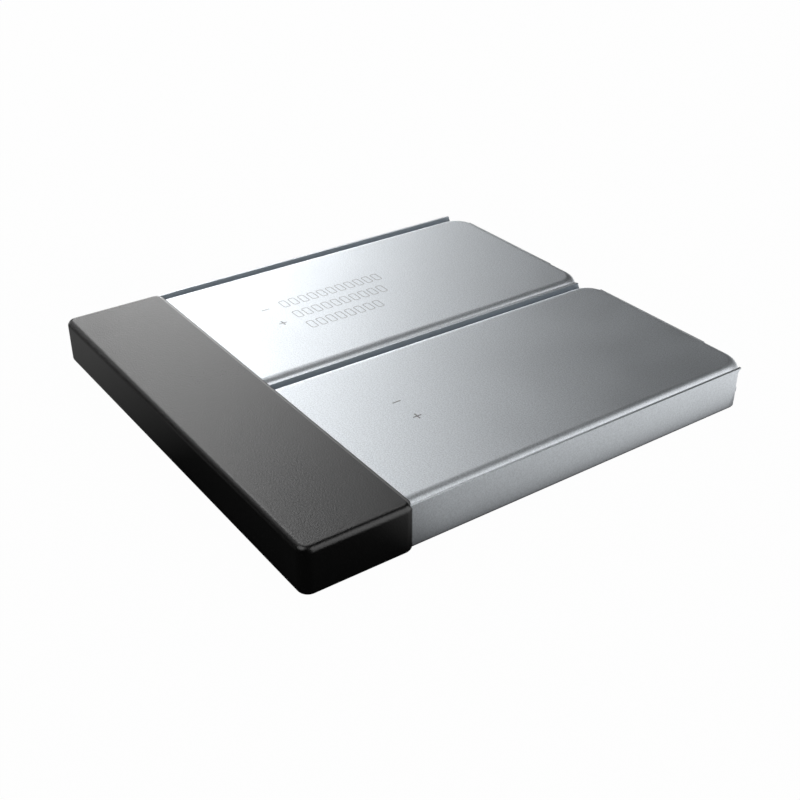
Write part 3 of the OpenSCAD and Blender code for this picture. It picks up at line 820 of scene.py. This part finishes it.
def makeCap():
    shape = capShape
    low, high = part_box("end_cap")
    bm = bmesh.new()
    length = high.y - low.y
    near = [shape["corner"] * (1 - math.cos(a)) for a in quarterTurn(shape["cornerRows"])]
    depths = [*near, length / 2, *[length - d for d in reversed(near)]]
    solidLoft(bm, [capRing(bm, shape, low, high, d) for d in depths])
    piece = meshObject("end_cap_shell", bm)
    past = 1 * mm  # cuts run on past the face they open
    side, wall, floor = high.x - shape["lipSide"], high.x - shape["wall"], shape["floor"]
    lip, small = shape["lipTop"], shape["cutRound"]
    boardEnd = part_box("protection_board")[1].y
    cutAway(piece, "lipPocket", [((-side, high.y - shape["lipLength"], lip),
                                  (side, high.y + past, high.z - lip))], shape["lipRound"])
    cutAway(piece, "boardRoom", [((-wall, low.y + shape["wall"], floor),
                                  (wall, high.y - past, high.z - shape["roof"]))], small)
    cutAway(piece, "tabRelief", [((-wall, boardEnd, lip), (wall, high.y - past, 2 * floor))], small)
    rim = Vector((shape["windowRim"], shape["windowRim"], 0))
    cutAway(piece, "contactWindows", [(Vector((*start.xy, -past)) - rim, Vector((*end.xy, 2 * floor)) + rim)
                                      for start, end in islands("contact_blades")], small)
    piece.data.materials.append(capPlastic)
    piece.data.materials.append(rimHighlightPlastic)
    # Painted highlight: top faces near the open end take the pale copy of the moulding
    for face in piece.data.polygons:
        onTop = face.center.z > high.z - lip and face.normal.z > shape["topFacing"]
        face.material_index = int(onTop and shape["rimHighlightRun"][0] < high.y - face.center.y < shape["rimHighlightRun"][1])
    dressMesh(piece, None, shape["sharp"])
    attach(piece, "cap")
    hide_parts("end_cap")


makeCap()
print("end cap made")


# Polarity marks, and plain zeros where the print lines stand
markShape = {
    "stroke": 0.26 * mm,
    "length": 1.7 * mm,
    "ink": 0.012 * mm,
    "left": {"minus": (-26.0 * mm, 16.7 * mm), "plus": (-19.1 * mm, 16.7 * mm)},  # Y from the cup's front
    "right": {"minus": (17.8 * mm, 17.6 * mm), "plus": (23.6 * mm, 17.8 * mm)},
    "rowX": -26.2 * mm,
    "rowY": 20.0 * mm,
    "rowPitch": 5.3 * mm,
    "rowZeros": (11, 10, 8),
    "zeroPitch": 2.2 * mm,
    "zeroSize": (3.0 * mm, 1.5 * mm),
    "zeroCorner": 0.45 * mm,
    "zeroStroke": 0.16 * mm,
}


def cupFront(side):
    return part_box(side + "_cell_cup")[0].y + cupShape["terrace"]


def aroundPoint(centre, size):
    return [[c + way * s / 2 for c, s in zip(centre, size)] for way in (-1, 1)]


def inkBar(bm, centre, size, z, ink):
    low, high = aroundPoint(centre, size)
    softBlock(bm, (*low, z), (*high, z + ink), ink / 3)


def inkZero(bm, centre, shape, z):
    low, high = aroundPoint(centre, shape["zeroSize"])
    plan = roundedPlan(low, high, shape["zeroCorner"], shape["zeroCorner"], 5)
    stroke, ink = shape["zeroStroke"], shape["ink"]
    steps = ((0, 0), (0, ink), (stroke, ink), (stroke, 0))
    rings = [planRing(bm, plan, inset, z + lift) for inset, lift in steps]
    loft(bm, [*rings, rings[0]])


def makeMarks(side):
    shape = markShape
    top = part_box(side + "_cell_cup")[1].z
    bm = bmesh.new()
    stroke, length = shape["stroke"], shape["length"]
    arm = (length - stroke) / 2
    for mark in ("minus", "plus"):
        x, y = shape[side][mark]
        y += cupFront(side)
        inkBar(bm, (x, y), (stroke, length), top, shape["ink"])
        for way in (-1, 1) if mark == "plus" else ():
            inkBar(bm, (x + way * (stroke + arm) / 2, y), (arm, stroke), top, shape["ink"])
    newPiece(side + "_polarity_marks", bm, [faintInk if side == "left" else markInk])


def makeZeros():
    shape = markShape
    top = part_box("left_cell_cup")[1].z
    bm = bmesh.new()
    for row, count in enumerate(shape["rowZeros"]):
        for k in range(count):
            x = shape["rowX"] + row * shape["rowPitch"]
            y = cupFront("left") + shape["rowY"] + (k + 0.5) * shape["zeroPitch"]
            inkZero(bm, (x, y), shape, top)
    newPiece("print_rows", bm, [faintInk])


for side in cellSides:
    makeMarks(side)
makeZeros()
print("marks made")


# Chips with gull-wing leads
chipShape = {
    "leadReach": 0.5 * mm,
    "leadWidth": 0.4 * mm,
    "leadThick": 0.13 * mm,
    "leadLevel": 0.45,  # share of the height where the leads come out
    "knee": 0.3,
    "footShare": 0.5,
    "lift": 0.1 * mm,
    "draft": 0.08 * mm,
    "corner": 0.06 * mm,
    "edge": 0.02 * mm,
    "dot": 0.22 * mm,
    "dotInset": 0.5 * mm,
    "dotLevels": (-0.02 * mm, 0.008 * mm),  # its foot and face, from the top of the body
    "dotSides": 16,
}


def chipBody(bm, shape, low, high):
    draft = shape["draft"]
    corner = shape["corner"] + draft
    plan = roundedPlan(low, high, corner, corner, 3)
    levels = ((low.z, draft), ((low.z + high.z) / 2, 0), (high.z, draft))
    solidLoft(bm, [planRing(bm, plan, inset, z) for z, inset in levels])


def gullLead(bm, shape, x, way, bodyY, endY, z, middle):
    half, thick, knee = shape["leadWidth"] / 2, shape["leadThick"], shape["knee"]
    run = way * thick
    foot = endY - way * abs(endY - bodyY) * shape["footShare"]
    over = [(bodyY - run, middle), (bodyY + run, middle), (foot, z + thick), (endY, z + thick)]
    under = [(bodyY - run, middle - thick), (bodyY + run * knee, middle - thick),
             (foot - run * (1 - knee), z), (endY, z)]
    rows = [[[(x + across, y, h) for y, h in path] for across in (-half, half)] for path in (over, under)]
    sheetLoft(bm, *rows, (1, 1, 1))


def makeChips(node, leads):
    shape = chipShape
    bm = bmesh.new()
    for low, high in islands(node):
        bodyLow = Vector((low.x, low.y + shape["leadReach"], low.z + shape["lift"]))
        bodyHigh = Vector((high.x, high.y - shape["leadReach"], high.z))
        chipBody(bm, shape, bodyLow, bodyHigh)
        middle = low.z + (high.z - low.z) * shape["leadLevel"]
        for i in range(leads):
            x = (low.x + high.x) / 2 + (i - (leads - 1) / 2) * (high.x - low.x) / leads
            gullLead(bm, shape, x, -1, bodyLow.y, low.y, low.z, middle)
            gullLead(bm, shape, x, 1, bodyHigh.y, high.y, low.z, middle)
        x, y = bodyLow.x + shape["dotInset"], bodyLow.y + shape["dotInset"]
        solidLoft(bm, [circleRing(bm, x, y, high.z + level, shape["dot"], shape["dotSides"])
                       for level in shape["dotLevels"]], 2)
    newPiece(node + "_dressed", bm, [chipEpoxy, tinSolder, faintInk], [node],
             bevel=shape["edge"])


makeChips("power_mosfets", 4)
makeChips("protection_chips", 3)

# Resistors and capacitors with soldered ends
chipEnd = {"cap": 0.3 * mm, "under": 0.7, "proud": 0.02 * mm, "edge": 0.05 * mm, "solder": 0.22 * mm,
           "solderHigh": 0.6, "hollow": 0.3}


def endSpans(low, high, run):
    return (low.x, low.x + run), (high.x - run, high.x)


def makeEndedChips(node, material):
    shape = chipEnd
    edge, hollow = shape["edge"], shape["hollow"]
    inset = Vector((shape["cap"] * shape["under"], shape["proud"], shape["proud"]))
    bm = bmesh.new()
    for low, high in islands(node):
        softBlock(bm, low + inset, high - inset, edge, 0)
        tall = (high.z - low.z) * shape["solderHigh"]
        for (x0, x1), face, way in zip(endSpans(low, high, shape["cap"]), (low.x, high.x), (-1, 1)):
            softBlock(bm, (x0, low.y, low.z), (x1, high.y, high.z), edge, 1)
            run = way * shape["solder"]
            section = [(face, low.z), (face + run, low.z), (face + run * hollow, low.z + tall * hollow),
                       (face, low.z + tall)]
            ends = (low.y + edge, high.y - edge)
            solidLoft(bm, [addRing(bm, [(x, y, z) for x, z in section]) for y in ends], 1)
    newPiece(node + "_dressed", bm, [material, tinSolder], [node])


makeEndedChips("chip_resistors", resistorGlaze)
makeEndedChips("chip_capacitors", capacitorCeramic)

# Shunt and fuse, each a body between two flat ends
shuntShape = {"end": 1.2 * mm, "endHigh": 0.45 * mm, "endEdge": 0.08 * mm, "edge": 0.08 * mm}
fuseShape = {"end": 1.6 * mm, "endHigh": 0.2 * mm, "endEdge": 0.04 * mm, "endHalf": 1.2 * mm,
             "edge": 0.25 * mm}


def makeFlatEnded(node, shape, materials):
    low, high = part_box(node)
    end, middle = shape["end"], (low.y + high.y) / 2
    half = shape.get("endHalf", (high.y - low.y) / 2)
    bm = bmesh.new()
    softBlock(bm, (low.x + end, low.y, low.z), (high.x - end, high.y, high.z), shape["edge"], 0)
    for x0, x1 in endSpans(low, high, end):
        softBlock(bm, (x0, middle - half, low.z), (x1, middle + half, low.z + shape["endHigh"]),
                  shape["endEdge"], 1)
    newPiece(node + "_dressed", bm, materials, [node])


makeFlatEnded("current_shunt", shuntShape, [shuntAlloy, tinSolder])
makeFlatEnded("thermal_fuse", fuseShape, [fuseBody, nickelStrip])

# Thermistor bead on two wires
beadShape = {"diameter": 2 * mm, "length": 4 * mm, "bulge": (3.2, 2.4), "wire": 0.26 * mm,
             "wireGap": 1.2 * mm, "wireOut": 0.375 * mm, "wireBend": 0.15 * mm, "steps": 20, "turns": 24}


def sweepTube(bm, path, radius, slot, sides=10):
    rings = []
    for i, point in enumerate(path):
        run = (path[min(i + 1, len(path) - 1)] - path[max(i - 1, 0)]).normalized()
        across = Vector((1, 0, 0))
        lift = run.cross(across).normalized()
        rings.append(addRing(bm, [point + radius * (math.cos(a) * across + math.sin(a) * lift)
                                  for a in fullTurn(sides)]))
    solidLoft(bm, rings, slot)


def roundedPath(points, radius, steps=6):
    path = [points[0]]
    for a, b, c in zip(points, points[1:], points[2:]):
        start, end = b + (a - b).normalized() * radius, b + (c - b).normalized() * radius
        path += [start * (1 - t) ** 2 + b * 2 * t * (1 - t) + end * t * t for t in shares(steps)]
    return [*path, points[-1]]


def makeThermistor():
    shape = beadShape
    low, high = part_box("thermistor")
    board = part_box("protection_board")[1]
    radius, half, wire = shape["diameter"] / 2, shape["length"] / 2, shape["wire"] / 2
    centre = Vector(((low.x + high.x) / 2, high.y - radius, high.z - radius))
    power, root = shape["bulge"]
    bm = bmesh.new()
    rings = []
    for share in shares(shape["steps"])[1:-1]:
        t = 2 * share - 1
        r = radius * (1 - abs(t) ** power) ** (1 / root)
        rings.append(addRing(bm, [centre + Vector((half * t, r * math.cos(a), r * math.sin(a)))
                                  for a in fullTurn(shape["turns"])]))
    solidLoft(bm, rings, 0)
    riseY, restZ = board.y + shape["wireOut"], board.z + wire
    for way in (-1, 1):
        x = centre.x + way * shape["wireGap"] / 2
        corners = ((centre.y, centre.z), (riseY, centre.z), (riseY, restZ), (low.y, restZ))
        sweepTube(bm, roundedPath([Vector((x, y, z)) for y, z in corners], shape["wireBend"]), wire, 1)
    newPiece("thermistor_dressed", bm, [beadGlaze, tinSolder], ["thermistor"])


makeThermistor()

# Foam pad under the cap's roof
padShape = {"edge": 0.5 * mm, "rim": 0.08 * mm, "crown": 0.12 * mm, "rows": 12, "sharp": 60}


def makeFoamPad():
    shape = padShape
    low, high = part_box("board_pad")
    bm = bmesh.new()
    plan = roundedPlan(low, high, shape["edge"], shape["edge"], 6)
    middle, reach = (low.z + high.z) / 2, (high.z - low.z) / 2
    rings = []
    for share in shares(shape["rows"]):
        t = 2 * share - 1
        pull = shape["crown"] * (1 - t * t)  # sides draw in between the edges
        rings.append(planRing(bm, plan, pull if abs(t) < 1 else shape["rim"], middle + reach * t))
    solidLoft(bm, rings)
    piece = newPiece("board_foam_pad", bm, [foamCells], ["board_pad"], sharp=shape["sharp"])


makeFoamPad()

# Spot welds on the tabs
weldShape = {
    "radius": 0.32 * mm,
    "rise": 0.05 * mm,
    "profile": ((1, -0.2), (1, 0.4), (0.75, 1), (0.5, 0.7), (0.25, 0.3)),  # shares of the radius and the rise
    "sides": 14,
    "columns": 3,
    "rows": 2,
    "pitch": 1.3 * mm,
    "rowPitch": 1.0 * mm,
    "tabThick": 0.15 * mm,
    "fromEnd": 1.2 * mm,
    "sharp": 70,
}


def makeWelds():
    shape = weldShape
    bm = bmesh.new()
    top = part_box("weld_pads")[1].z + shape["tabThick"]
    spots = [(i - (shape["columns"] - 1) / 2, j - (shape["rows"] - 1) / 2)
             for i in range(shape["columns"]) for j in range(shape["rows"])]
    for node in [side + sign for side in cellSides for sign in tabSigns]:
        low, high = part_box(node)
        for column, row in spots:
            x = (low.x + high.x) / 2 + column * shape["pitch"]
            y = low.y + shape["fromEnd"] + row * shape["rowPitch"]
            solidLoft(bm, [circleRing(bm, x, y, top + shape["rise"] * h, shape["radius"] * r, shape["sides"])
                           for r, h in shape["profile"]])
    newPiece("tab_welds", bm, [tinSolder], sharp=shape["sharp"])


makeWelds()
print("board parts made")


# Finishes of the carried-over nodes, some with their edges softened
nodeFinish = {
    "cell_roll": electrodeRoll, "cell_separator": separatorFilm, "roll_tape": closingTape,
    "positive_tab": aluminiumStrip, "negative_tab": nickelStrip, "tab_seal": tabSealant,
    "cell_bond_tape": bondTape, "tab_insulator": insulatingPaper, "board_carrier": carrierPlastic,
    "protection_board": boardResist, "weld_pads": nickelStrip, "contact_block": blockPlastic,
    "contact_blades": goldPlate,
}
softened = {"tab_insulator": 0.03 * mm, "board_carrier": 0.1 * mm, "protection_board": 0.05 * mm,
            "weld_pads": 0.04 * mm, "contact_block": 0.08 * mm, "contact_blades": 0.03 * mm}
weldDistance = 1e-6


def dressNodes():
    for name, node in nodes.items():
        if node.hide_render:
            continue
        finish = next(m for end, m in nodeFinish.items() if name.endswith(end))
        node.data.materials.clear()
        node.data.materials.append(finish)
        if name in softened:
            weld = node.modifiers.new("joinFaces", "WELD")
            weld.merge_threshold = weldDistance
            softenEdges(node, softened[name], 2)


dressNodes()
print("carried-over nodes dressed")


# Stage: pale floor, dim world, soft lamps; the floor's glow that gloss and metal see holds painted light and
# painted shadow
stageLook = {
    "floorSize": 6.0,
    "floorDrop": 0.03 * mm,
    "floorColour": (0.8, 0.8, 0.8),
    "floorRough": 0.9,
    "floorWhite": 0.98,  # share of plain white that the camera sees
    "floorShine": 0.95,  # share of the backdrop's tone that gloss and metal see
    "frontTone": (0.22, 0.003),  # painted light in the floor's glow in front, from left to right
    "frontRun": (-50 * mm, 1 * mm),
    "sideTone": (0.3, 0.95),  # painted light in the floor's glow beside the cells, from the cap to the free end and behind
    "sideRun": (-28 * mm, 70 * mm),
    # painted shade in the floor's glow beside the cap
    "capShade": (-30 * mm, -20 * mm),
    "footShade": 2.5 * mm,  # painted shadow in the floor's glow: dim strip where the part stands
    "sideRise": (0.75, 1.13),  # painted light in the floor's glow: slow rise in tone away from the part's right side
    "riseRun": 13 * mm,
    "ambient": 0.004,
}
lamps = {  # azimuth from +X towards +Y and elevation in degrees, power
    "rightPanel": (45, 25, 3.5),
    "rearStrip": (150, 4, 0.214),
    "frontStrip": (195, 4, 0.3),
    "rearLow": (145, 15, 0.1),
    "leftLow": (160, 15, 0.67),
    "rearBox": (155, 28, 0.15),
    "leftSoft": (185, 28, 0.54),
    "rearHigh": (155, 42, 0.075),
    "leftHigh": (170, 42, 0.38),
    "leftTop": (150, 60, 0.364),
    "frontFill": (262, 55, 1.7),
}
lampSize = {"Strip": (0.28, 0.09), "Panel": (0.9, 0.95), "Fill": (0.6, 0.6), "Soft": (0.6, 0.5)}
boxSize = (0.28, 0.2)
lampDistance = 0.8


def rayKinds(tree):
    path = addNode(tree, "ShaderNodeLightPath").outputs
    return larger(tree, path["Is Camera Ray"], path["Is Transmission Ray"]), path["Is Glossy Ray"]


def makeFloor(look):
    half = look["floorSize"] / 2
    z = cadBox[0].z - look["floorDrop"]
    mesh = bpy.data.meshes.new("floor")
    corners = [(-half, -half, z), (half, -half, z), (half, half, z), (-half, half, z)]
    mesh.from_pydata(corners, [], [(0, 1, 2, 3)])
    material, tree, shader, place = startMaterial("paleFloor")
    setShader(tree, shader, Base_Color=look["floorColour"], Roughness=look["floorRough"],
              Specular_IOR_Level=0.0)
    seen, glossy = rayKinds(tree)
    # Painted light and shadow: the glow that gloss and metal see is graded by place on the floor
    across, along = addNode(tree, "ShaderNodeSeparateXYZ", {0: place}).outputs[:2]
    foot, edge = look["footShade"], cadBox[1]
    beside = times(tree, mapRange(tree, across, edge.x, edge.x + foot),
                   mapRange(tree, across, edge.x, edge.x + look["riseRun"], *look["sideRise"]))
    behind = mapRange(tree, along, edge.y, edge.y + foot)
    lit = times(tree, mapRange(tree, along, *look["sideRun"], *look["sideTone"]),
                mapRange(tree, along, *look["capShade"]))
    shine = larger(tree, mapRange(tree, across, *look["frontRun"], *look["frontTone"]),
                   times(tree, lit, larger(tree, beside, behind)))
    tone = larger(tree, seen, times(tree, glossy, shine))
    white = addNode(tree, "ShaderNodeEmission", {"Color": (1, 1, 1), "Strength": tone})
    share = larger(tree, times(tree, seen, look["floorWhite"]), times(tree, glossy, look["floorShine"]))
    mix = addNode(tree, "ShaderNodeMixShader", {0: share, 1: shader.outputs[0], 2: white.outputs[0]})
    feed(tree, tree.nodes["Material Output"].inputs["Surface"], mix.outputs[0])
    mesh.materials.append(material)
    floor = bpy.data.objects.new("floor", mesh)
    scene.collection.objects.link(floor)


def makeWorld(look):
    world = bpy.data.worlds.new("studio")
    scene.world = world
    world.use_nodes = True
    tree = world.node_tree
    seen = rayKinds(tree)[0]
    backdrop = tree.nodes["Background"].inputs
    feed(tree, backdrop["Color"], (1, 1, 1))
    feed(tree, backdrop["Strength"], larger(tree, seen, look["ambient"]))


def makeLamp(name, look):
    azimuth, elevation, power = look
    way = direction(azimuth, elevation)
    data = bpy.data.lights.new(name, "AREA")
    data.shape = "RECTANGLE"
    data.size, data.size_y = next((size for end, size in lampSize.items() if name.endswith(end)), boxSize)
    data.energy = power
    lamp = bpy.data.objects.new(name, data)
    lamp.location = way * lampDistance
    lamp.rotation_mode = "QUATERNION"
    lamp.rotation_quaternion = (-way).to_track_quat("-Z", "Y")
    scene.collection.objects.link(lamp)


makeFloor(stageLook)
makeWorld(stageLook)
for name, look in lamps.items():
    makeLamp(name, look)
print("stage and lamps set")
